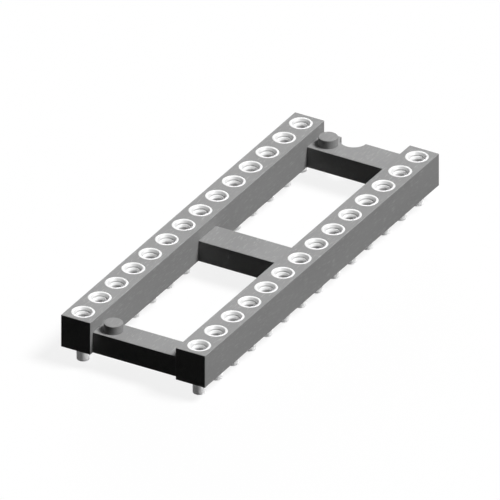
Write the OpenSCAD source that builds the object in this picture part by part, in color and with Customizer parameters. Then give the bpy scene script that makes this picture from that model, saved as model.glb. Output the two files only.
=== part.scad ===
// Open-frame socket for a dual in-line package, with turned contacts.
// Millimetres. +X runs across the two rows, +Y along them towards the notched end, +Z up.
// The origin is the middle of the footprint, on the board plane where the solder stubs end.

/* [Contact grid] */
// Contacts in each row
contacts_per_row = 14; // [4:1:14]
// Distance between neighbouring contacts in a row
pitch = 2.54; // [2.3:0.01:3.5]
// Distance between the two rows
row_spacing = 10.16; // [7.62:0.01:22.86]

/* [Rails] */
// Width of each rail
rail_w = 2.58; // [2.3:0.01:3.5]
// Height of the rails
rail_h = 2.79; // [2.5:0.01:4]
// From a row's axis to the outer face of its rail
rail_outset = 1.23; // [1.1:0.01:1.35]
// From the last contact's axis to the end of its rail
rail_end = 1.24; // [1.1:0.01:3]
// Chamfer on the edges of the moulding
edge_chamfer = 0.04; // [0.02:0.01:0.15]

/* [Crossbars] */
// Tops of the crossbars below the tops of the rails
bar_drop = 1; // [0.2:0.01:1.8]
// Width of the plain end crossbar
plain_bar_w = 2.21; // [1.9:0.01:3.5]
// Setback of the plain end crossbar from the ends of the rails
plain_bar_setback = 0.4; // [0:0.01:1.5]
// Width of the middle crossbar
middle_bar_w = 2.65; // [1:0.01:4]
// Width of the notched end crossbar
notched_bar_w = 2.65; // [2:0.01:4]

/* [Bosses and notch] */
// Diameter of the two bosses on the end crossbars
boss_d = 1.5; // [0.8:0.01:1.9]
// Height of the bosses above the crossbars
boss_h = 0.7; // [0.2:0.01:1]
// From the axis of the first row to the bosses
boss_from_row = 2.54; // [2.2:0.01:4]
// From the window edge of a crossbar to its boss
boss_from_window = 1.15; // [0.95:0.01:1.25]
// Radius of the half-round notch
notch_r = 1.07; // [0.5:0.01:1.2]
// From the axis of the first row to the notch
notch_from_row = 3.92; // [3:0.01:5]

/* [Contact sleeves] */
// Diameter of the bore that holds a spring clip
clip_bore_d = 1.14; // [1:0.01:1.2]
// Wall of the barrel around that bore
barrel_wall = 0.18; // [0.12:0.005:0.25]
// How far the head stands out past the barrel
head_overhang = 0.165; // [0.08:0.005:0.24]
// Thickness of the head
head_h = 0.5; // [0.3:0.01:0.8]
// Chamfer on the rim of the head
rim_chamfer = 0.03; // [0.01:0.005:0.06]
// Depth of the mouth above the clip
mouth_depth = 0.285; // [0.26:0.005:0.6]
// Depth of the countersink at the top of the mouth
countersink_depth = 0.17; // [0.1:0.005:0.22]
// Width of the countersink
countersink_w = 0.17; // [0.08:0.005:0.22]
// Height of each of the two press-fit lands on the barrel
land_h = 0.55; // [0.3:0.01:0.8]
// Depth of the relief between the lands
relief_depth = 0.04; // [0.02:0.005:0.08]
// Diameter of the solder stub
stub_d = 1; // [0.7:0.01:1.2]
// Length of the solder stub below the frame
stub_l = 1.32; // [0.6:0.01:3.2]
// Chamfer on the end of the stub and of the barrel
tip_chamfer = 0.05; // [0.02:0.005:0.1]
// From the shoulder above the stub to the full-width end of the bore
bore_floor = 0.38; // [0.25:0.01:0.6]
// Angle of the drill point at the end of the bore
drill_angle = 118; // [90:1:140]

/* [Spring clips] */
// Thickness of the collar
collar_wall = 0.16; // [0.1:0.005:0.2]
// Thickness of the fingers where they grip a lead
finger_wall = 0.1; // [0.06:0.005:0.14]
// Length of the closed collar
collar_l = 0.75; // [0.5:0.01:0.9]
// Depth of the rounded lead-in at the top of the collar
lead_in_depth = 0.2; // [0.08:0.01:0.3]
// Width of that lead-in
lead_in_w = 0.08; // [0.03:0.005:0.09]
// Fingers on each clip
finger_count = 4; // [3:1:6]
// Width of the slots between the fingers
slot_w = 0.12; // [0.06:0.005:0.16]
// Opening between the fingers where they grip a lead
grip_d = 0.32; // [0.2:0.01:0.5]
// Length of the flared finger tips below the grip
tip_l = 0.2; // [0.1:0.01:0.3]
// How far the finger tips flare out below the grip
tip_flare = 0.04; // [0:0.01:0.1]
// Clearance between the finger tips and the end of the bore
tip_clearance = 0.08; // [0.04:0.01:0.2]

/* [Hidden] */
$fn = 96;
// Steps in the rounding of the lead-in
lead_in_steps = 6;
// Reach of a cutter past the face that it opens
overcut = 0.5;

// Places of the rows, the rails and the crossbars
row_x = row_spacing / 2;
row_end_y = (contacts_per_row - 1) * pitch / 2;
rail_outer_x = row_x + rail_outset;
rail_inner_x = rail_outer_x - rail_w;
rail_end_y = row_end_y + rail_end;
plain_bar_outer_y = -rail_end_y + plain_bar_setback;
plain_bar_inner_y = plain_bar_outer_y + plain_bar_w;
notched_bar_inner_y = rail_end_y - notched_bar_w;
boss_x = -row_x + boss_from_row;
notch_x = -row_x + notch_from_row;

// Heights above the board
underside_z = stub_l;
top_z = underside_z + rail_h;
bar_top_z = top_z - bar_drop;
bar_h = bar_top_z - underside_z;
head_z = top_z - head_h;
clip_top_z = top_z - mouth_depth;
bore_end_z = underside_z + bore_floor;

// Diameters of a sleeve, from its bore outwards
mouth_d = clip_bore_d + 2 * countersink_w;
barrel_d = clip_bore_d + 2 * barrel_wall;
head_d = barrel_d + 2 * head_overhang;
drill_point = clip_bore_d / 2 / tan(drill_angle / 2);

// Heights of a clip below its own top face
clip_l = clip_top_z - bore_end_z - tip_clearance;
grip_depth = clip_l - tip_l;

// Numbering: down the first row from the notched end, then back up the second
contacts = [1 : 2 * contacts_per_row];
function two_digits(n) = n < 10 ? str("0", n) : str(n);
function sleeve_name(n) = str("contact_sleeve_", two_digits(n));
function clip_name(n) = str("contact_clip_", two_digits(n));
function contact_place(n) =
    n <= contacts_per_row
        ? [-row_x, row_end_y - (n - 1) * pitch, 0]
        : [row_x, -row_end_y + (n - 1 - contacts_per_row) * pitch, 0];

// A rectangle with its corners cut at 45 degrees
module chamfered_rectangle(size, c = edge_chamfer) {
    w = size[0];
    h = size[1];
    polygon([[c, 0], [w - c, 0], [w, c], [w, h - c], [w - c, h], [c, h], [0, h - c], [0, c]]);
}

// A block with all its edges chamfered: what three chamfered outlines have in common
module chamfered_block(low, high) {
    size = high - low;
    translate(low)
        intersection() {
            linear_extrude(size.z) chamfered_rectangle([size.x, size.y]);
            translate([0, size.y, 0])
                rotate([90, 0, 0])
                    linear_extrude(size.y) chamfered_rectangle([size.x, size.z]);
            rotate([90, 0, 90])
                linear_extrude(size.x) chamfered_rectangle([size.y, size.z]);
        }
}

module rail(side) {
    low_x = side < 0 ? -rail_outer_x : rail_inner_x;
    chamfered_block([low_x, -rail_end_y, underside_z], [low_x + rail_w, rail_end_y, top_z]);
}

// A crossbar runs from row axis to row axis, so that it grows out of both rails
module crossbar(low_y, high_y) {
    chamfered_block([-row_x, low_y, underside_z], [row_x, high_y, bar_top_z]);
}

module boss(y) {
    root = bar_h / 2;
    translate([boss_x, y, bar_top_z])
        rotate_extrude()
            polygon([
                [0, -root],
                [boss_d / 2, -root],
                [boss_d / 2, boss_h - edge_chamfer],
                [boss_d / 2 - edge_chamfer, boss_h],
                [0, boss_h]
            ]);
}

module orientation_notch() {
    translate([notch_x, rail_end_y, underside_z - overcut])
        cylinder(r = notch_r, h = bar_h + 2 * overcut);
}

// The stepped hole for one sleeve: the seat of its head and the press fit of its barrel
module sleeve_hole() {
    translate([0, 0, head_z])
        cylinder(d = head_d, h = head_h + overcut);
    translate([0, 0, underside_z - overcut])
        cylinder(d = barrel_d, h = rail_h + 2 * overcut);
}

module insulator_frame() {
    color("#9b9b9b")
        difference() {
            union() {
                rail(-1);
                rail(1);
                crossbar(plain_bar_outer_y, plain_bar_inner_y);
                crossbar(-middle_bar_w / 2, middle_bar_w / 2);
                difference() {
                    crossbar(notched_bar_inner_y, rail_end_y);
                    orientation_notch();
                }
                boss(plain_bar_inner_y - boss_from_window);
                boss(notched_bar_inner_y + boss_from_window);
            }
            for (n = contacts) translate(contact_place(n)) sleeve_hole();
        }
}

// Turned sleeve: stub, shoulder, two press-fit lands, head, countersunk mouth and blind clip bore
module contact_sleeve() {
    stub_r = stub_d / 2;
    barrel_r = barrel_d / 2;
    head_r = head_d / 2;
    bore_r = clip_bore_d / 2;
    relief_r = barrel_r - relief_depth;
    low_land_z = underside_z + land_h;
    high_land_z = head_z - land_h;
    color("#e4e4e0")
        rotate_extrude()
            polygon([
                [0, 0],
                [stub_r - tip_chamfer, 0],
                [stub_r, tip_chamfer],
                [stub_r, underside_z],
                [barrel_r - tip_chamfer, underside_z],
                [barrel_r, underside_z + tip_chamfer],
                [barrel_r, low_land_z],
                [relief_r, low_land_z + relief_depth],
                [relief_r, high_land_z - relief_depth],
                [barrel_r, high_land_z],
                [barrel_r, head_z],
                [head_r, head_z],
                [head_r, top_z - rim_chamfer],
                [head_r - rim_chamfer, top_z],
                [mouth_d / 2, top_z],
                [bore_r, top_z - countersink_depth],
                [bore_r, bore_end_z],
                [0, bore_end_z - drill_point]
            ]);
}

// Drawn spring clip: a closed collar with a rounded lead-in, then fingers that converge to the grip and flare
module contact_clip() {
    collar_r = clip_bore_d / 2;
    hole_r = collar_r - collar_wall;
    grip_r = grip_d / 2;
    lead_in = [
        for (i = [0 : lead_in_steps])
            let (a = 90 * i / lead_in_steps)
            [hole_r + lead_in_w * (1 - cos(a)), lead_in_depth * (sin(a) - 1)]
    ];
    color("#cdc8bc")
        translate([0, 0, clip_top_z])
            difference() {
                rotate_extrude()
                    polygon(concat([
                        [collar_r, 0],
                        [collar_r, -collar_l],
                        [grip_r + finger_wall, -grip_depth],
                        [grip_r + finger_wall + tip_flare, -clip_l],
                        [grip_r + tip_flare, -clip_l],
                        [grip_r, -grip_depth],
                        [hole_r, -collar_l]
                    ], lead_in));
                for (i = [0 : finger_count - 1])
                    rotate((i + 0.5) * 360 / finger_count)
                        translate([0, -slot_w / 2, -clip_l - overcut])
                            cube([clip_bore_d, slot_w, clip_l - collar_l + overcut]);
            }
}

insulator_frame();
for (n = contacts) {
    translate(contact_place(n)) contact_sleeve();
    translate(contact_place(n)) contact_clip();
}
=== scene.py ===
# %% [markdown]
# # A dip socket with turned contacts
# A dip socket holds a plug-in chip on a circuit board. It is one grey moulded frame with a row of small
# turned metal contacts in each rail, and each contact holds a springy clip that grips one lead of the chip.
# This lesson loads the engineering model as a fixed frame and gives every piece the surface of the real
# one. Blender works in metres here, so sizes of real pieces are written in millimetres times MM.

# %% Load the frame
import math

import bmesh
import bpy
import numpy as np
from mathutils import Matrix, Vector


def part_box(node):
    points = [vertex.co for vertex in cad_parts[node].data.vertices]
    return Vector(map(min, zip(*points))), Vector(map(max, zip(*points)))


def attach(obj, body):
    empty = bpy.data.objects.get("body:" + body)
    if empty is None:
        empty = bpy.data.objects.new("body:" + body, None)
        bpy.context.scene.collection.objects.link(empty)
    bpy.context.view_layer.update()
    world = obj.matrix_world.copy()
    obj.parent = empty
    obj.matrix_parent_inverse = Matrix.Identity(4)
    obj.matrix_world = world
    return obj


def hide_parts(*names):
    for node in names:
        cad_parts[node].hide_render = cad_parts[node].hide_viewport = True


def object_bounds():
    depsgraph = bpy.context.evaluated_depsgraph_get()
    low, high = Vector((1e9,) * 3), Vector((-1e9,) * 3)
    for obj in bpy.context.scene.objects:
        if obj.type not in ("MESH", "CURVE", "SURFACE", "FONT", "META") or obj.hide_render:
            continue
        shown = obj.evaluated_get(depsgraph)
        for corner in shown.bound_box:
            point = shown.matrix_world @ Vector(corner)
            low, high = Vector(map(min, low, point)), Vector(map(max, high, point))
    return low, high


MM = 0.001
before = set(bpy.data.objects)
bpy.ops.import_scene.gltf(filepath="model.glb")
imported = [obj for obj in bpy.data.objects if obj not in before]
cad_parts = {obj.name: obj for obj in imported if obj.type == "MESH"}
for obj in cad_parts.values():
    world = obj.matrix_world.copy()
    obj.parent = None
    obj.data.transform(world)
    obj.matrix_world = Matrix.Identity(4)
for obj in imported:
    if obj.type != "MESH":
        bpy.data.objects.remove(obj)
cad_low, cad_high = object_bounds()
scene = bpy.context.scene
scene.view_settings.view_transform = "Standard"
print("engineering model, mm:", [round(side / MM, 2) for side in cad_high - cad_low])

# %% [markdown]
# ## The camera
# The reference picture has no perspective: parallel edges stay parallel, and the far contacts are as big as
# the near ones. A long lens from far away would come close to that, and an orthographic camera gives it
# exactly. Its direction follows from how much the rows and the width across them are foreshortened: 30
# degrees round from the front and 30 degrees up.

# %% Camera
CAMERA_AZIMUTH = math.radians(30)
CAMERA_ELEVATION = math.radians(30)
CAMERA_DISTANCE = 300 * MM
VIEW_WIDTH = 37.9 * MM
AIM_BELOW_TOP = 1.39 * MM


def towards(azimuth, elevation):
    """Unit vector from the object to a viewer or a lamp. Azimuth 0 is the front, -Y, and 90 degrees is +X."""
    level = math.cos(elevation)
    return Vector((math.sin(azimuth) * level, -math.cos(azimuth) * level, math.sin(elevation)))


camera = bpy.data.objects.new("camera", bpy.data.cameras.new("camera"))
scene.collection.objects.link(camera)
scene.camera = camera
camera.data.type = "ORTHO"
camera.data.ortho_scale = VIEW_WIDTH
back = towards(CAMERA_AZIMUTH, CAMERA_ELEVATION)
camera.location = Vector((0, 0, cad_high.z - AIM_BELOW_TOP)) + back * CAMERA_DISTANCE
camera.rotation_euler = back.to_track_quat("Z", "Y").to_euler()
print("picture width, mm:", round(VIEW_WIDTH / MM, 1))

# %% [markdown]
# ## Helpers for materials
# A material is a small graph of nodes. Made step by step, each node takes a line for every socket, so one
# function adds a node, sets its options and fills its sockets: a value is written into a socket, and
# another node's output is linked to it. Colours are written as sRGB hex values, as a paint program shows
# them, and turned into the linear values that Blender works with.

# %% Material helpers
def linear(hex_code):
    """sRGB hex to linear RGBA: c / 12.92 in the darkest part, ((c + 0.055) / 1.055) ^ 2.4 above it."""
    c = np.array([int(hex_code[i:i + 2], 16) for i in (1, 3, 5)]) / 255
    rgb = np.where(c <= 0.04045, c / 12.92, ((c + 0.055) / 1.055) ** 2.4)
    return (*rgb.tolist(), 1.0)


def add(tree, kind, sockets=None, **options):
    """Adds one node to a tree. Sockets are named or numbered, and take a value or another node's output."""
    node = tree.nodes.new(kind)
    for name, value in options.items():
        setattr(node, name, value)
    for name, value in (sockets or {}).items():
        if isinstance(value, bpy.types.NodeSocket):
            tree.links.new(value, node.inputs[name])
        else:
            node.inputs[name].default_value = value
    return node


def new_material(name):
    """An empty material with its output node, returned with its tree."""
    material = bpy.data.materials.new(name)
    material.use_nodes = True
    material.node_tree.nodes.clear()
    output = add(material.node_tree, "ShaderNodeOutputMaterial")
    return material, material.node_tree, output


print("grey #808080 in linear light:", round(linear("#808080")[0], 3))

# %% [markdown]
# ## Lighter edges and painted shade in corners
# Handling polishes the outer edges of a moulding a little lighter, and the lighter edges also stand in for
# the highlight along them, so they are part polish and part painted highlight. Inside corners are painted
# darker, as painted shade. Both could be painted on the mesh by hand. Here nodes find them, wherever they
# are: a rounded normal and the surface's own part company only near an edge, and inside corners see less
# of the sky.

# %% Polish, painted highlight and painted shade
EDGE_WIDTH = 0.08 * MM
CORNER_WIDTH = 0.25 * MM
EDGE_SAMPLES = 4
# These edge numbers lighten outer edges: part polish from handling, part painted highlight.
WEAR_HIGHLIGHT_FROM = 0.99
WEAR_HIGHLIGHT_TO = 0.80
WEAR_HIGHLIGHT_SHARE = 0.7
OUTER_FROM = 0.8
OUTER_TO = 0.95
# These corner numbers paint shade into inside corners.
CORNER_SHADE_FROM = 0.9
CORNER_SHADE_TO = 0.4
CORNER_SHADE_SHARE = 0.35


def wear_highlight_and_corner_shade(tree):
    """How much an outer edge is lightened, part polish from handling and part painted highlight, and how
    much an inside corner is darkened as painted shade: 0 for none.

    The edge part grows as the product of the two normals falls from WEAR_HIGHLIGHT_FROM to WEAR_HIGHLIGHT_TO,
    but only in the open. The painted shade grows as the open part of the sky shrinks from CORNER_SHADE_FROM
    to
    CORNER_SHADE_TO.
    """
    rounded = add(tree, "ShaderNodeBevel", {"Radius": EDGE_WIDTH}, samples=EDGE_SAMPLES)
    normal = add(tree, "ShaderNodeNewGeometry").outputs["Normal"]
    likeness = add(tree, "ShaderNodeVectorMath", {0: rounded.outputs[0], 1: normal}, operation="DOT_PRODUCT")
    openness = add(tree, "ShaderNodeAmbientOcclusion", {"Distance": CORNER_WIDTH},
                   samples=EDGE_SAMPLES, only_local=True).outputs["AO"]
    # Lighter edges, part polish and part painted highlight, only where the surface is open.
    outer = add(tree, "ShaderNodeMapRange",
                {"Value": openness, "From Min": OUTER_FROM, "From Max": OUTER_TO, "To Max": WEAR_HIGHLIGHT_SHARE})
    wear_highlight = add(tree, "ShaderNodeMapRange",
               {"Value": likeness.outputs["Value"], "From Min": WEAR_HIGHLIGHT_FROM, "From Max": WEAR_HIGHLIGHT_TO,
                "To Max": outer.outputs["Result"]})
    # Painted shade: darker as less of the sky is open around an inside corner.
    corner_shade = add(tree, "ShaderNodeMapRange",
               {"Value": openness, "From Min": CORNER_SHADE_FROM, "From Max": CORNER_SHADE_TO, "To Max": CORNER_SHADE_SHARE})
    return wear_highlight.outputs["Result"], corner_shade.outputs["Result"]


# Reaches of the lighter edges, part polish and part painted highlight, and of the painted shade in corners.
print("wear and dust reach, mm:", round(EDGE_WIDTH / MM, 2), "and", round(CORNER_WIDTH / MM, 2))

# %% [markdown]
# ## Grey moulded plastic
# The frame is a glass-filled polyester moulding. The mould gives it a fine matt grain, the melt leaves
# faint clouds that run along the rails, and chopped glass fibres show as tiny paler streaks in the same
# direction. A picture could be wrapped round the frame for this, but noise that is worked out from the
# place in space needs no unwrapping and has no seams. The real grain is about 0.03 mm wide, too fine for
# this picture, so it is drawn 0.14 mm wide, and the fibres are drawn coarser too.

# %% Moulded plastic
PLASTIC_GREY = linear("#a2a2a2")
PLASTIC_CLOUD = linear("#919191")
FIBRE_GREY = linear("#b3b3b3")
# The edge grey is part polish and part painted highlight.
WEAR_HIGHLIGHT_GREY = linear("#b4b4b4")
# The corner grey is painted shade for inside corners.
CORNER_SHADE_GREY = linear("#7e7e7e")
PLASTIC_IOR = 1.55
PLASTIC_SPECULAR = 0.05
PLASTIC_SMOOTH = 0.52
PLASTIC_ROUGH = 0.66
NOISE_LOW = 0.3
NOISE_HIGH = 0.7
CLOUD_SIZE = (2.5 * MM, 8 * MM, 2.5 * MM)
CLOUD_DETAIL = 3.0
FIBRE_SIZE = (0.07 * MM, 0.7 * MM, 0.07 * MM)
FIBRE_DETAIL = 1.0
FIBRE_FROM = 0.60
FIBRE_TO = 0.75
FIBRE_SHARE = 0.8
GRAIN_WIDTH = 0.14 * MM
GRAIN_DEPTH = 0.012 * MM
GRAIN_DETAIL = 2.0
GRAIN_STRENGTH = 0.5


def moulded_plastic():
    """Matt grey glass-filled polyester, as it comes out of the mould and after some handling."""
    material, tree, output = new_material("glass_filled_polyester")
    place = add(tree, "ShaderNodeTexCoord").outputs["Object"]
    clouds_at = add(tree, "ShaderNodeMapping", {"Vector": place, "Scale": [1 / side for side in CLOUD_SIZE]})
    clouds = add(tree, "ShaderNodeTexNoise",
                 {"Vector": clouds_at.outputs[0], "Scale": 1.0, "Detail": CLOUD_DETAIL})
    fibres_at = add(tree, "ShaderNodeMapping", {"Vector": place, "Scale": [1 / side for side in FIBRE_SIZE]})
    fibres = add(tree, "ShaderNodeTexNoise",
                 {"Vector": fibres_at.outputs[0], "Scale": 1.0, "Detail": FIBRE_DETAIL})
    streaks = add(tree, "ShaderNodeMapRange",
                  {"Value": fibres.outputs[0], "From Min": FIBRE_FROM, "From Max": FIBRE_TO,
                   "To Max": FIBRE_SHARE})
    grain = add(tree, "ShaderNodeTexNoise",
                {"Vector": place, "Scale": 1 / GRAIN_WIDTH, "Detail": GRAIN_DETAIL})
    wear_highlight, corner_shade = wear_highlight_and_corner_shade(tree)

    body = add(tree, "ShaderNodeMix", {"Factor": clouds.outputs[0], "A": PLASTIC_CLOUD, "B": PLASTIC_GREY},
               data_type="RGBA")
    flecked = add(tree, "ShaderNodeMix",
                  {"Factor": streaks.outputs["Result"], "A": body.outputs["Result"], "B": FIBRE_GREY},
                  data_type="RGBA")
    # Painted shade: inside corners are mixed towards a darker grey.
    corner_shaded = add(tree, "ShaderNodeMix", {"Factor": corner_shade, "A": flecked.outputs["Result"], "B": CORNER_SHADE_GREY},
                data_type="RGBA")
    # Outer edges are mixed towards a lighter grey: part polish, part painted highlight.
    wear_highlighted = add(tree, "ShaderNodeMix", {"Factor": wear_highlight, "A": corner_shaded.outputs["Result"], "B": WEAR_HIGHLIGHT_GREY},
               data_type="RGBA")
    roughness = add(tree, "ShaderNodeMapRange",
                    {"Value": grain.outputs[0], "From Min": NOISE_LOW, "From Max": NOISE_HIGH,
                     "To Min": PLASTIC_SMOOTH, "To Max": PLASTIC_ROUGH})
    bump = add(tree, "ShaderNodeBump",
               {"Strength": GRAIN_STRENGTH, "Distance": GRAIN_DEPTH, "Height": grain.outputs[0]})
    shader = add(tree, "ShaderNodeBsdfPrincipled",
                 {"Base Color": wear_highlighted.outputs["Result"], "Roughness": roughness.outputs["Result"],
                  "Normal": bump.outputs[0], "IOR": PLASTIC_IOR, "Specular IOR Level": PLASTIC_SPECULAR})
    tree.links.new(shader.outputs[0], output.inputs["Surface"])
    return material


plastic = moulded_plastic()
print("plastic nodes:", len(plastic.node_tree.nodes))

# %% [markdown]
# ## Tin plate
# The sleeves are turned from brass bar and tin plated, and the clips are drawn from beryllium copper sheet
# and plated too. Tin plate is white and satin: it scatters part of the light, as a matt white would, and
# mirrors the rest. Turning and drawing leave fine rings round both. Modelled rings would take very many
# faces, so a bump draws them. Each mesh carries two numbers for the plate. The way along its outline makes
# the rings, drawn 0.09 mm apart, wider than a tool leaves. The way into the hole places painted shade: a
# sleeve's plate is painted darker in the mouth, and both plates much darker deep in the hole.

# %% Tin plate
TIN_WHITE = linear("#fafafa")
TIN_GREY = linear("#eeeeee")
CLIP_WHITE = linear("#f8f8f8")
CLIP_GREY = linear("#ebebeb")
# Painted shade: the sleeve's plate is multiplied by this grey inside the mouth.
MOUTH_PAINTED_SHADE = linear("#e2e2e2")
WHITE = linear("#ffffff")
MOUTH_STEP = 0.04 * MM
# Painted shade: both plates turn to this dark grey deep in the hole, between the two depths below.
DEEP_PAINTED_SHADE = linear("#9a9a9a")
DEEP_SHADE_FROM = 0.42 * MM
DEEP_SHADE_TO = 0.75 * MM
TIN_METALLIC = 0.12
TIN_SMOOTH = 0.46
TIN_ROUGH = 0.60
TIN_SHADE_SIZE = 0.5 * MM
TIN_SHADE_DETAIL = 3.0
RING_PITCH = 0.09 * MM
RING_DEPTH = 0.0025 * MM
RING_STRENGTH = 0.3
OUTLINE_ATTRIBUTE = "way_along_outline"
HOLE_ATTRIBUTE = "way_into_hole"


def tin_plate(name, dull, bright, mouth):
    """Satin tin plate in two tones, times painted shade in the mouth. Its rings are sin(2 pi way / pitch)."""
    material, tree, output = new_material(name)
    place = add(tree, "ShaderNodeTexCoord").outputs["Object"]
    shade = add(tree, "ShaderNodeTexNoise",
                {"Vector": place, "Scale": 1 / TIN_SHADE_SIZE, "Detail": TIN_SHADE_DETAIL})
    plate = add(tree, "ShaderNodeMix", {"Factor": shade.outputs[0], "A": dull, "B": bright}, data_type="RGBA")
    inward = add(tree, "ShaderNodeAttribute", attribute_name=HOLE_ATTRIBUTE).outputs["Fac"]
    entering = add(tree, "ShaderNodeMapRange", {"Value": inward, "From Max": MOUTH_STEP})
    # Painted shade: darker from the mouth's edge inwards.
    mouth_shaded = add(tree, "ShaderNodeMix",
                 {"Factor": entering.outputs["Result"], "A": plate.outputs["Result"], "B": mouth},
                 data_type="RGBA", blend_type="MULTIPLY")
    # Painted shade: much darker deep in the hole.
    deep_shading = add(tree, "ShaderNodeMapRange", {"Value": inward, "From Min": DEEP_SHADE_FROM, "From Max": DEEP_SHADE_TO})
    colour = add(tree, "ShaderNodeMix",
                 {"Factor": deep_shading.outputs["Result"], "A": mouth_shaded.outputs["Result"], "B": DEEP_PAINTED_SHADE},
                 data_type="RGBA")
    way = add(tree, "ShaderNodeAttribute", attribute_name=OUTLINE_ATTRIBUTE).outputs["Fac"]
    phase = add(tree, "ShaderNodeMath", {0: way, 1: 2 * math.pi / RING_PITCH}, operation="MULTIPLY")
    rings = add(tree, "ShaderNodeMath", {0: phase.outputs[0]}, operation="SINE")
    roughness = add(tree, "ShaderNodeMapRange",
                    {"Value": shade.outputs[0], "From Min": NOISE_LOW, "From Max": NOISE_HIGH,
                     "To Min": TIN_SMOOTH, "To Max": TIN_ROUGH})
    bump = add(tree, "ShaderNodeBump",
               {"Strength": RING_STRENGTH, "Distance": RING_DEPTH, "Height": rings.outputs[0]})
    shader = add(tree, "ShaderNodeBsdfPrincipled",
                 {"Base Color": colour.outputs["Result"], "Metallic": TIN_METALLIC,
                  "Roughness": roughness.outputs["Result"], "Normal": bump.outputs[0]})
    tree.links.new(shader.outputs[0], output.inputs["Surface"])
    return material


# The sleeve's mouth gets painted shade; the clip's mouth gets none.
turned_tin = tin_plate("tin_plated_turned_brass", TIN_GREY, TIN_WHITE, MOUTH_PAINTED_SHADE)
drawn_tin = tin_plate("tin_plated_beryllium_copper", CLIP_GREY, CLIP_WHITE, WHITE)
print("tin plate nodes:", len(turned_tin.node_tree.nodes))

# %% [markdown]
# ## The moulded frame
# The frame's shape is right in the engineering model, with its crossbars, bosses, notch and chamfered
# edges, so it could stay as it is. But its mesh is loose triangles, each shaded flat, and the round bosses
# would look like polygons. So a copy is welded, and its level triangles are joined into whole faces.

# %% Weld the frame's mesh
WELD_GRID = 0.0002 * MM
LEVEL_ANGLE = math.radians(0.5)


def values_of(items, name, width, kind):
    """One property of all the items of a mesh, as an array with a row for each item."""
    values = np.empty(width * len(items), kind)
    items.foreach_get(name, values)
    return values.reshape(-1, width) if width > 1 else values


def welded(source, name):
    """A copy of a mesh of triangles in which corners that fall on the same point of a fine grid are one."""
    points = values_of(source.vertices, "co", 3, np.float32).astype(float)
    triangles = values_of(source.loops, "vertex_index", 1, np.int32).reshape(-1, 3)
    _, first, merged = np.unique(np.round(points / WELD_GRID).astype(np.int64), axis=0,
                                 return_index=True, return_inverse=True)
    triangles = merged.reshape(-1)[triangles]
    whole = (triangles != np.roll(triangles, 1, axis=1)).all(axis=1)
    mesh = bpy.data.meshes.new(name)
    mesh.from_pydata(points[first].tolist(), [], triangles[whole].tolist())
    return mesh


def join_level_faces(mesh):
    """Joins neighbouring triangles that lie in one plane into whole faces."""
    work = bmesh.new()
    work.from_mesh(mesh)
    bmesh.ops.dissolve_limit(work, angle_limit=LEVEL_ANGLE, verts=work.verts, edges=work.edges)
    work.to_mesh(mesh)
    work.free()


frame_mesh = welded(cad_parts["insulator_frame"].data, "moulded_frame")
join_level_faces(frame_mesh)
print("moulded frame:", len(frame_mesh.vertices), "corners,", len(frame_mesh.polygons), "faces")

# %% [markdown]
# ## Normals of the frame
# Smooth shading makes the bosses round, but by itself it also bends the flats towards their chamfers.
# Normals that are weighted by area cure that. Blender has a modifier for them, but the areas on a socket
# this small are too small for it, so they are worked out here. Large faces count most: the flats and the
# sides of the bosses keep their own normals, and the narrow chamfers look rounded.

# %% Finish the frame
SHARP_ANGLE = math.radians(50)


def corner_normals(mesh):
    """For each corner of each face, the sum of area times normal over the faces at that point, at length 1.

    Faces that are turned more than SHARP_ANGLE away from the corner's own face are left out of its sum.
    """
    normal = values_of(mesh.polygons, "normal", 3, np.float32)
    area = values_of(mesh.polygons, "area", 1, np.float32) / MM ** 2
    face = np.repeat(np.arange(len(area)), values_of(mesh.polygons, "loop_total", 1, np.int32))
    point = values_of(mesh.loops, "vertex_index", 1, np.int32)
    by_point = np.argsort(point, kind="stable")
    count = np.bincount(point)
    first = np.cumsum(count) - count
    total = np.zeros((len(point), 3))
    for turn in range(count.max()):
        there = turn < count[point]
        other = face[by_point[np.where(there, first[point] + turn, 0)]]
        alike = (normal[face] * normal[other]).sum(axis=1) > math.cos(SHARP_ANGLE)
        total += (there & alike)[:, None] * area[other, None] * normal[other]
    return total / np.linalg.norm(total, axis=1, keepdims=True)


def add_piece(name, mesh, material, node):
    """Shows a mesh as the finished form of one node of the frame."""
    mesh.materials.append(material)
    piece = bpy.data.objects.new(name, mesh)
    scene.collection.objects.link(piece)
    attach(piece, "root")
    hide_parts(node)


frame_mesh.shade_smooth()
frame_mesh.normals_split_custom_set(corner_normals(frame_mesh).tolist())
add_piece("moulded_frame", frame_mesh, plastic, "insulator_frame")
print("normals of the frame:", len(frame_mesh.loops))

# %% [markdown]
# ## The turned sleeves
# A lathe shapes a sleeve by spinning it, so its mesh is an outline spun round an axis. The outline runs
# from the middle of the stub's end up the outside, over the rim, down the countersink and the bore to the
# drill's point. Tools leave no perfectly sharp corner. A Bevel modifier could round the spun mesh, but
# rounding the outline first takes one short formula: each corner becomes a small curve. Normals come from
# the same formula, so the flats shade flat and the corners catch the light.

# %% Outline of a sleeve
EDGE_ROUND = 0.025 * MM
ROUND_STEPS = 4
ROUND_SHARE = 0.45
STUB_R = 0.5 * MM
BARREL_R = 0.75 * MM
RELIEF_DEPTH = 0.04 * MM
LAND_HEIGHT = 0.55 * MM
HEAD_HEIGHT = 0.5 * MM
RIM_CHAMFER = 0.03 * MM
COUNTERSINK = 0.17 * MM
TIP_CHAMFER = 0.05 * MM
BORE_FLOOR = 0.38 * MM
DRILL_HALF_ANGLE = math.radians(59)

sleeve_low, sleeve_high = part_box("contact_sleeve_01")
clip_low, clip_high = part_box("contact_clip_01")
HEAD_R = (sleeve_high.x - sleeve_low.x) / 2
BORE_R = (clip_high.x - clip_low.x) / 2
TOP_Z = sleeve_high.z
UNDERSIDE_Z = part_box("insulator_frame")[0].z


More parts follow.
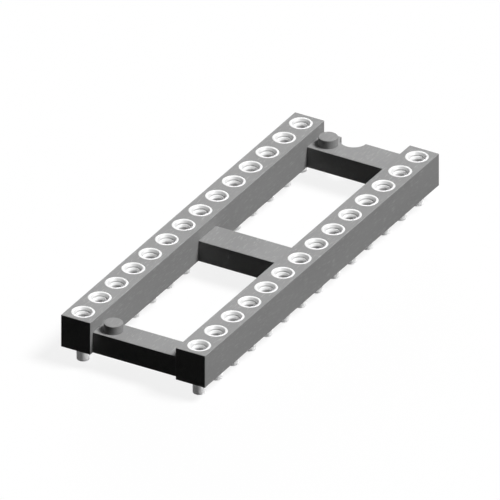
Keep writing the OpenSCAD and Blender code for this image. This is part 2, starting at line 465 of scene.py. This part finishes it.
def sleeve_corners():
    """Corners of the sleeve's outline as (radius, height): the outside with the rim, then mouth and bore."""
    head_z = TOP_Z - HEAD_HEIGHT
    low_land = UNDERSIDE_Z + LAND_HEIGHT
    high_land = head_z - LAND_HEIGHT
    relief_r = BARREL_R - RELIEF_DEPTH
    bore_end = UNDERSIDE_Z + BORE_FLOOR
    outside = [
        (0, 0), (STUB_R - TIP_CHAMFER, 0), (STUB_R, TIP_CHAMFER), (STUB_R, UNDERSIDE_Z),
        (BARREL_R - TIP_CHAMFER, UNDERSIDE_Z), (BARREL_R, UNDERSIDE_Z + TIP_CHAMFER),
        (BARREL_R, low_land), (relief_r, low_land + RELIEF_DEPTH),
        (relief_r, high_land - RELIEF_DEPTH), (BARREL_R, high_land),
        (BARREL_R, head_z), (HEAD_R, head_z), (HEAD_R, TOP_Z - RIM_CHAMFER), (HEAD_R - RIM_CHAMFER, TOP_Z),
    ]
    inside = [
        (BORE_R + COUNTERSINK, TOP_Z), (BORE_R, TOP_Z - COUNTERSINK),
        (BORE_R, bore_end), (0, bore_end - BORE_R / math.tan(DRILL_HALF_ANGLE)),
    ]
    return np.array(outside), np.array(inside)


def rounded_outline(corners, reach):
    """Turns each corner C into the curve (1-s)^2 A + 2 s (1-s) C + s^2 B, from A before it to B after it.

    A and B lie on the two sides, a reach away from C, or ROUND_SHARE of the shorter side if that is less. The
    slope (1-s)(C-A) + s(B-C), turned a quarter to the right, is the outward normal.
    """
    middle = corners[1:-1]
    before = corners[:-2] - middle
    after = corners[2:] - middle
    shorter = np.minimum(np.linalg.norm(before, axis=1), np.linalg.norm(after, axis=1))
    arm = np.minimum(reach, ROUND_SHARE * shorter)[:, None]
    a = (before / np.linalg.norm(before, axis=1, keepdims=True) * arm)[:, None]
    b = (after / np.linalg.norm(after, axis=1, keepdims=True) * arm)[:, None]
    s = np.linspace(0, 1, ROUND_STEPS)[None, :, None]
    points = middle[:, None] + (1 - s) ** 2 * a + s ** 2 * b
    slopes = s * b - (1 - s) * a
    points = np.vstack([corners[:1], points.reshape(-1, 2), corners[-1:]])
    slopes = np.vstack([-before[:1], slopes.reshape(-1, 2), after[-1:]])
    normals = np.stack([slopes[:, 1], -slopes[:, 0]], axis=1)
    return points, normals / np.linalg.norm(normals, axis=1, keepdims=True)


sleeve_outside, sleeve_inside = sleeve_corners()
sleeve_outline, sleeve_normals = rounded_outline(np.vstack([sleeve_outside, sleeve_inside]), EDGE_ROUND)
print("sleeve outline:", len(sleeve_outline), "points")

# %% [markdown]
# ## Spinning the outline
# Blender's Screw modifier could spin the outline too. Spun as arrays, the mesh takes over the outline's
# exact normals, one point on the axis closes each end, and every corner gets the two numbers that the tin
# plate reads: the way along the outline, and the way into the hole from the inner edge of the rim.

# %% Spin the outline
SLEEVE_STEPS = 72


def way_along(outline):
    """The length of the outline from its start to each of its points."""
    return np.concatenate([[0], np.cumsum(np.linalg.norm(np.diff(outline, axis=0), axis=1))])


def mark(mesh, attribute, values):
    """Writes one number for every corner of a mesh, for its material to read."""
    mesh.attributes.new(attribute, "FLOAT", "POINT").data.foreach_set("value", values)


def spun(outline, normals, steps, name):
    """point(i, t) = (r_i cos t, r_i sin t, z_i), closed at both ends by a single point on the axis."""
    turn = np.arange(steps) * 2 * math.pi / steps
    ring = np.stack([np.cos(turn), np.sin(turn)], axis=1)

    def around(pairs):
        """Pairs of lengths away from and along the axis, each carried round to every angle of the ring."""
        level = np.repeat(pairs[:, None, 1:], steps, axis=1)
        return np.concatenate([pairs[:, None, :1] * ring[None], level], axis=2).reshape(-1, 3)

    points = np.vstack([(0, 0, outline[0, 1]), around(outline[1:-1]), (0, 0, outline[-1, 1])])
    faces_out = np.vstack([(0, 0, -1), around(normals[1:-1]), (0, 0, 1)])
    index = 1 + np.arange(len(outline[1:-1]) * steps).reshape(-1, steps)
    after = np.roll(index, -1, axis=1)
    sides = np.stack([index[:-1], after[:-1], after[1:], index[1:]], axis=-1).reshape(-1, 4)
    last = np.full(steps, len(points) - 1)
    low_end = np.stack([np.zeros(steps, int), after[0], index[0]], axis=1)
    high_end = np.stack([last, index[-1], after[-1]], axis=1)
    mesh = bpy.data.meshes.new(name)
    mesh.from_pydata(points.tolist(), [], low_end.tolist() + sides.tolist() + high_end.tolist())
    mesh.shade_smooth()
    mesh.normals_split_custom_set_from_vertices(faces_out.tolist())
    way = way_along(outline)
    along = np.concatenate([way[:1], np.repeat(way[1:-1], steps), way[-1:]])
    mark(mesh, OUTLINE_ATTRIBUTE, along)
    return mesh, along


sleeve_mesh, sleeve_way = spun(sleeve_outline, sleeve_normals, SLEEVE_STEPS, "turned_sleeve")
mouth_edge = way_along(np.vstack([sleeve_outside, sleeve_inside[:1]]))[-1]
mark(sleeve_mesh, HOLE_ATTRIBUTE, np.maximum(sleeve_way - mouth_edge, 0))
print("one sleeve:", len(sleeve_mesh.polygons), "faces")

# %% [markdown]
# ## The spring clips
# A clip starts as a drawn cup. Its closed collar has a conical lead-in and is pressed into the sleeve, and
# slots cut the rest into fingers that converge, grip the lead and flare a little at their tips. A Solidify
# modifier could give a single surface its thickness, but the collar's wall is thicker than the fingers', so
# the outer and the inner wall are worked out apart. The slots have parallel sides, so a finger's edge lies
# asin(half a slot / radius) from the slot's middle.

# %% Walls of a clip
FINGERS = 4
SLOT_WIDTH = 0.12 * MM
COLLAR_WALL = 0.16 * MM
COLLAR_LENGTH = 0.75 * MM
LEAD_IN_DEPTH = 0.14 * MM
LEAD_IN_WIDTH = 0.08 * MM
LEAD_IN_ROWS = 5
GRIP_R = 0.16 * MM
FINGER_WALL = 0.10 * MM
TIP_LENGTH = 0.2 * MM
TIP_FLARE = 0.04 * MM
FINGER_COLUMNS = 12
SLOT_COLUMNS = 2
CLIP_ROWS = 24


def clip_walls():
    """Way down, outer radius and inner radius of the clip, row by row from its top.

    Both walls run straight from bend to bend. The lead-in adds a cone to the inner wall, widest at the top.
    """
    length = clip_high.z - clip_low.z
    bends = np.array([0, COLLAR_LENGTH, length - TIP_LENGTH, length])
    lead_in = np.linspace(0, LEAD_IN_DEPTH, LEAD_IN_ROWS)
    down = np.union1d(np.linspace(LEAD_IN_DEPTH, length, CLIP_ROWS), np.concatenate([bends, lead_in]))
    finger_r = GRIP_R + FINGER_WALL
    outer = np.interp(down, bends, [BORE_R, BORE_R, finger_r, finger_r + TIP_FLARE])
    inner = np.interp(down, bends, [BORE_R - COLLAR_WALL] * 2 + [GRIP_R, GRIP_R + TIP_FLARE])
    above = np.clip(1 - down / LEAD_IN_DEPTH, 0, 1)
    return down, outer, inner + LEAD_IN_WIDTH * above


def clip_angles(radius):
    """Angle of every column at each radius: across each finger, then across the slot that follows it."""
    pitch = 2 * math.pi / FINGERS
    half_slot = np.arcsin(SLOT_WIDTH / 2 / radius)[:, None, None]
    slot_middle = ((np.arange(FINGERS) + 0.5) * pitch)[None, :, None]
    across = np.linspace(0, 1, FINGER_COLUMNS + 1)[None, None]
    finger = (slot_middle + half_slot) + across * (pitch - 2 * half_slot)
    part = np.linspace(0, 1, SLOT_COLUMNS + 1)[None, None, 1:-1]
    slot = (slot_middle + pitch - half_slot) + part * 2 * half_slot
    return np.concatenate([finger, slot], axis=2).reshape(len(radius), -1)


clip_down, clip_outer, clip_inner = clip_walls()
print("clip length, mm:", round(clip_down[-1] / MM, 2))

# %% [markdown]
# ## Slots between the fingers
# Slots could be cut out of a closed cup with a Boolean modifier, which leaves uneven faces at the cuts.
# Here both walls are grids, with the way down the clip as one parameter and the way round it as the other,
# and the slots are columns with no faces below the collar. Faces from wall to wall close every open edge.

# %% Mesh of a clip
CLIP_SHARP_ANGLE = math.radians(40)
CLIP_TOP_Z = clip_high.z


def clip_wall_points(radius):
    """point(i, j) = (r_i cos a_ij, r_i sin a_ij, top - down_i), with the angles of the fingers and slots."""
    angle = clip_angles(radius)
    height = np.broadcast_to(CLIP_TOP_Z - clip_down[:, None], angle.shape)
    return np.stack([radius[:, None] * np.cos(angle), radius[:, None] * np.sin(angle), height], axis=-1)


def clip_faces(index):
    """Faces of both walls, the top ring, and the edges that are open below, after and before a face."""
    out, inn = index
    out_after = np.roll(out, -1, axis=1)
    inn_after = np.roll(inn, -1, axis=1)
    columns = out.shape[1]
    in_finger = np.arange(columns) % (FINGER_COLUMNS + SLOT_COLUMNS) < FINGER_COLUMNS
    in_collar = clip_down[1:] <= COLLAR_LENGTH + WELD_GRID
    kept = in_collar[:, None] | in_finger[None]
    open_below = kept & ~np.vstack([kept[1:], np.zeros((1, columns), bool)])
    open_after = kept & ~np.roll(kept, -1, axis=1)
    open_before = kept & ~np.roll(kept, 1, axis=1)
    return np.vstack([
        np.stack([out[1:], out_after[1:], out_after[:-1], out[:-1]], -1)[kept],
        np.stack([inn[:-1], inn_after[:-1], inn_after[1:], inn[1:]], -1)[kept],
        np.stack([out[:1], out_after[:1], inn_after[:1], inn[:1]], -1).reshape(-1, 4),
        np.stack([inn[1:], inn_after[1:], out_after[1:], out[1:]], -1)[open_below],
        np.stack([out_after[1:], inn_after[1:], inn_after[:-1], out_after[:-1]], -1)[open_after],
        np.stack([inn[1:], out[1:], out[:-1], inn[:-1]], -1)[open_before],
    ])


def clip_mesh_of(name):
    """The clip's mesh, without the points inside the slots, marked with the way down it and into the hole."""
    points = np.stack([clip_wall_points(clip_outer), clip_wall_points(clip_inner)])
    index = np.arange(points[..., 0].size).reshape(points.shape[:3])
    used, faces = np.unique(clip_faces(index), return_inverse=True)
    mesh = bpy.data.meshes.new(name)
    mesh.from_pydata(points.reshape(-1, 3)[used].tolist(), [], faces.reshape(-1, 4).tolist())
    mesh.shade_smooth()
    mesh.set_sharp_from_angle(angle=CLIP_SHARP_ANGLE)
    along = np.broadcast_to(clip_down[:, None], index.shape).reshape(-1)[used]
    mark(mesh, OUTLINE_ATTRIBUTE, along)
    mark(mesh, HOLE_ATTRIBUTE, along + TOP_Z - CLIP_TOP_Z)
    return mesh


clip_mesh = clip_mesh_of("spring_clip")
print("one clip:", len(clip_mesh.polygons), "faces")

# %% [markdown]
# ## One contact at every place
# All contacts are alike, so one sleeve and one clip are copied to the axis of each node of the frame.
# Objects that share one mesh would take less room, but each would have to stand at its own place. The place
# goes into the copy's mesh instead, and the object stays at the origin, as the frame's own nodes do.

# %% Place the contacts
contact_numbers = sorted(name[-2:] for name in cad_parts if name.startswith("contact_sleeve_"))


def placed_copy(mesh, node):
    """A copy of a mesh made about the vertical axis, moved to the axis of a node."""
    low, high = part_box(node)
    copy = mesh.copy()
    copy.transform(Matrix.Translation(((low.x + high.x) / 2, (low.y + high.y) / 2, 0)))
    return copy


for number in contact_numbers:
    sleeve_node = f"contact_sleeve_{number}"
    clip_node = f"contact_clip_{number}"
    sleeve_copy = placed_copy(sleeve_mesh, sleeve_node)
    clip_copy = placed_copy(clip_mesh, clip_node)
    add_piece(f"turned_sleeve_{number}", sleeve_copy, turned_tin, sleeve_node)
    add_piece(f"spring_clip_{number}", clip_copy, drawn_tin, clip_node)
print("contacts:", len(contact_numbers))

# %% [markdown]
# ## The floor
# The socket stands on white paper. A floor of plain white would throw light up at the object, so this one
# is white only to the camera, in reflections and through glass, and gives no light back to the object. Most
# of its white is its own glow, and the rest comes from the lamps, so it still takes a soft shadow.

# %% Floor
FLOOR_SIZE = 2.0
FLOOR_GLOW = 0.86
FLOOR_SHARE = 0.14
BLACK = linear("#000000")

floor_mesh = bpy.data.meshes.new("floor")
half = FLOOR_SIZE / 2
floor_corners = [(-half, -half, 0), (half, -half, 0), (half, half, 0), (-half, half, 0)]
floor_mesh.from_pydata(floor_corners, [], [(0, 1, 2, 3)])
floor = bpy.data.objects.new("floor", floor_mesh)
scene.collection.objects.link(floor)


def seen_directly(tree):
    """1 for rays from the camera, a reflection or through glass, and 0 for light that lands on things."""
    path = add(tree, "ShaderNodeLightPath")
    mirror = add(tree, "ShaderNodeMath", {0: path.outputs["Is Camera Ray"], 1: path.outputs["Is Glossy Ray"]},
                 operation="MAXIMUM")
    return add(tree, "ShaderNodeMath", {0: mirror.outputs[0], 1: path.outputs["Is Transmission Ray"]},
               operation="MAXIMUM").outputs[0]


paper, paper_tree, paper_output = new_material("white_paper_floor")
glow = add(paper_tree, "ShaderNodeEmission", {"Color": WHITE, "Strength": FLOOR_GLOW})
lit = add(paper_tree, "ShaderNodeBsdfDiffuse", {"Color": (FLOOR_SHARE, FLOOR_SHARE, FLOOR_SHARE, 1)})
white = add(paper_tree, "ShaderNodeAddShader", {0: glow.outputs[0], 1: lit.outputs[0]})
dark = add(paper_tree, "ShaderNodeBsdfDiffuse", {"Color": BLACK})
paper_mix = add(paper_tree, "ShaderNodeMixShader",
                {0: seen_directly(paper_tree), 1: dark.outputs[0], 2: white.outputs[0]})
paper_tree.links.new(paper_mix.outputs[0], paper_output.inputs["Surface"])
floor_mesh.materials.append(paper)
print("floor, m:", FLOOR_SIZE)

# %% [markdown]
# ## The world
# A plain white world would light the object from all sides and leave no face dark. This one is white to the
# camera and through glass, but throws hardly any light, so that faces turned from the lamps stay as dark as
# in the reference. Reflections see it as a large soft box: white up on the right, and dimmer on the other
# side.

# %% World
AMBIENT = 0.005
BACKGROUND = 1.0
DIM_SIDE = 0.25
BRIGHT_AZIMUTH = math.radians(120)
BRIGHT_ELEVATION = math.radians(45)
SOFTBOX_FROM = -0.5
SOFTBOX_TO = 0.4

world = bpy.data.worlds.new("studio")
scene.world = world
world.use_nodes = True
sky = world.node_tree
sky.nodes.clear()
direction = add(sky, "ShaderNodeTexCoord").outputs["Generated"]
facing = add(sky, "ShaderNodeVectorMath", {0: direction, 1: towards(BRIGHT_AZIMUTH, BRIGHT_ELEVATION)},
             operation="DOT_PRODUCT")
softbox = add(sky, "ShaderNodeMapRange",
              {"Value": facing.outputs["Value"], "From Min": SOFTBOX_FROM, "From Max": SOFTBOX_TO,
               "To Min": DIM_SIDE})
path = add(sky, "ShaderNodeLightPath")
mirrored = add(sky, "ShaderNodeMix",
               {"Factor": path.outputs["Is Glossy Ray"], "A": AMBIENT, "B": softbox.outputs["Result"]})
through = add(sky, "ShaderNodeMath",
              {0: path.outputs["Is Camera Ray"], 1: path.outputs["Is Transmission Ray"]}, operation="MAXIMUM")
strength = add(sky, "ShaderNodeMix",
               {"Factor": through.outputs[0], "A": mirrored.outputs["Result"], "B": BACKGROUND})
sky_light = add(sky, "ShaderNodeBackground", {"Color": WHITE, "Strength": strength.outputs["Result"]})
add(sky, "ShaderNodeOutputWorld", {"Surface": sky_light.outputs[0]})
print("ambient light:", AMBIENT)

# %% [markdown]
# ## The lamps
# A key lamp stands high up to the right, and a weak fill at the far left, too low to shine deep into the
# contacts, keeps the far sides readable. The rails shade the solder stubs, and the left side is turned from
# the key. More light from the world would brighten them, but the mouths and the dark faces too. So two slit
# lamps send flat level beams, which reach no mouth at all. One passes under the rails to the stubs, and is
# turned so that the stubs of one row don't shade those of the other. The second passes above the stubs and
# lights the left side.

# %% Lamps
KEY_AZIMUTH = math.radians(108)
KEY_ELEVATION = math.radians(58)
KEY_STRENGTH = 3.5
KEY_SPREAD = math.radians(20)
FILL_AZIMUTH = math.radians(215)
FILL_ELEVATION = math.radians(8)
FILL_STRENGTH = 1.0
FILL_SPREAD = math.radians(14)
SLIT_DISTANCE = 40 * MM
SLIT_WIDTH = 50 * MM
SLIT_SPREAD = math.radians(1)
STUB_AZIMUTH = math.radians(110.5)
STUB_BEAM = (0, 1.2 * MM)
STUB_STRENGTH = 2.6
SIDE_AZIMUTH = math.radians(255)
SIDE_BEAM = (1.5 * MM, 6 * MM)
SIDE_STRENGTH = 1.2


def add_sun(name, azimuth, elevation, strength, spread):
    """A lamp so far away that it lights the whole object alike, soft by its spread."""
    lamp = bpy.data.objects.new(name, bpy.data.lights.new(name, "SUN"))
    scene.collection.objects.link(lamp)
    lamp.data.energy = strength
    lamp.data.angle = spread
    lamp.rotation_euler = towards(azimuth, elevation).to_track_quat("Z", "Y").to_euler()


def add_slit_lamp(name, azimuth, beam, strength):
    """A level beam between two heights. Its power is the strength on what it lights times the lamp's area."""
    lamp = bpy.data.objects.new(name, bpy.data.lights.new(name, "AREA"))
    scene.collection.objects.link(lamp)
    low, high = beam
    lamp.data.shape = "RECTANGLE"
    lamp.data.size = SLIT_WIDTH
    lamp.data.size_y = high - low
    lamp.data.spread = SLIT_SPREAD
    lamp.data.energy = strength * SLIT_WIDTH * (high - low)
    way = towards(azimuth, 0)
    lamp.location = way * SLIT_DISTANCE + Vector((0, 0, (low + high) / 2))
    lamp.rotation_euler = way.to_track_quat("Z", "Y").to_euler()
    lamp.visible_camera = False
    lamp.visible_glossy = False


add_sun("key_lamp", KEY_AZIMUTH, KEY_ELEVATION, KEY_STRENGTH, KEY_SPREAD)
add_sun("fill_lamp", FILL_AZIMUTH, FILL_ELEVATION, FILL_STRENGTH, FILL_SPREAD)
add_slit_lamp("stub_lamp", STUB_AZIMUTH, STUB_BEAM, STUB_STRENGTH)
add_slit_lamp("side_lamp", SIDE_AZIMUTH, SIDE_BEAM, SIDE_STRENGTH)
print("lamps: key, fill and two slit lamps")
